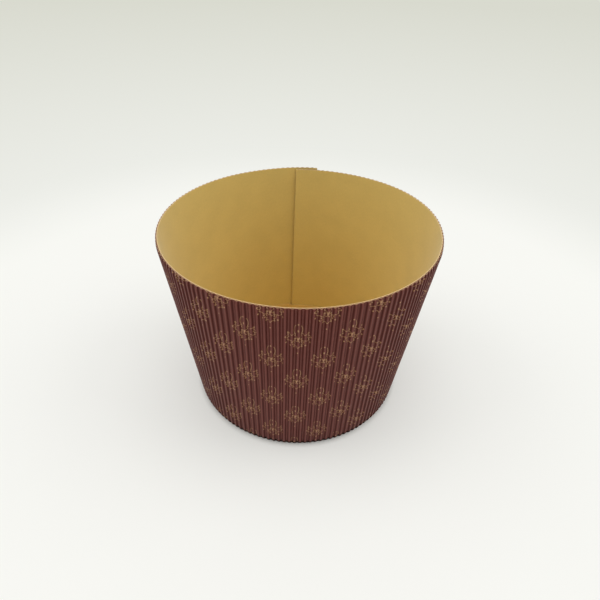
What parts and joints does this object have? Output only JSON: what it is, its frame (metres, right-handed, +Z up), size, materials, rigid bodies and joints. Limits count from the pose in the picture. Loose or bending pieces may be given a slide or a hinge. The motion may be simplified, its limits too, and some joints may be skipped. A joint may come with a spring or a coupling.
{
  "type": "round paper baking mould",
  "caption": "Tapered round baking mould of corrugated paper with a flat base, open at the top, for baking and serving a tall cake or loaf.",
  "frame": {"origin": "middle of the base's underside, on the surface the mould stands on", "axes": "+Z up, out of the open mouth; -Y is the front; the glued seam of the wall is at the back, near +Y"},
  "size_m": [0.1604, 0.1606, 0.1143],
  "materials": {
    "fluted_paper": "matt brown kraft, fluted, with a gold-brown lace print",
    "liner_paper": "matt tan kraft, smooth",
    "base_paper": "matt tan kraft, smooth"
  },
  "bodies": {
    "root": {"fluted_wall": "fluted_paper", "wall_liner": "liner_paper", "base_disc": "base_paper"}
  },
  "joints": []
}
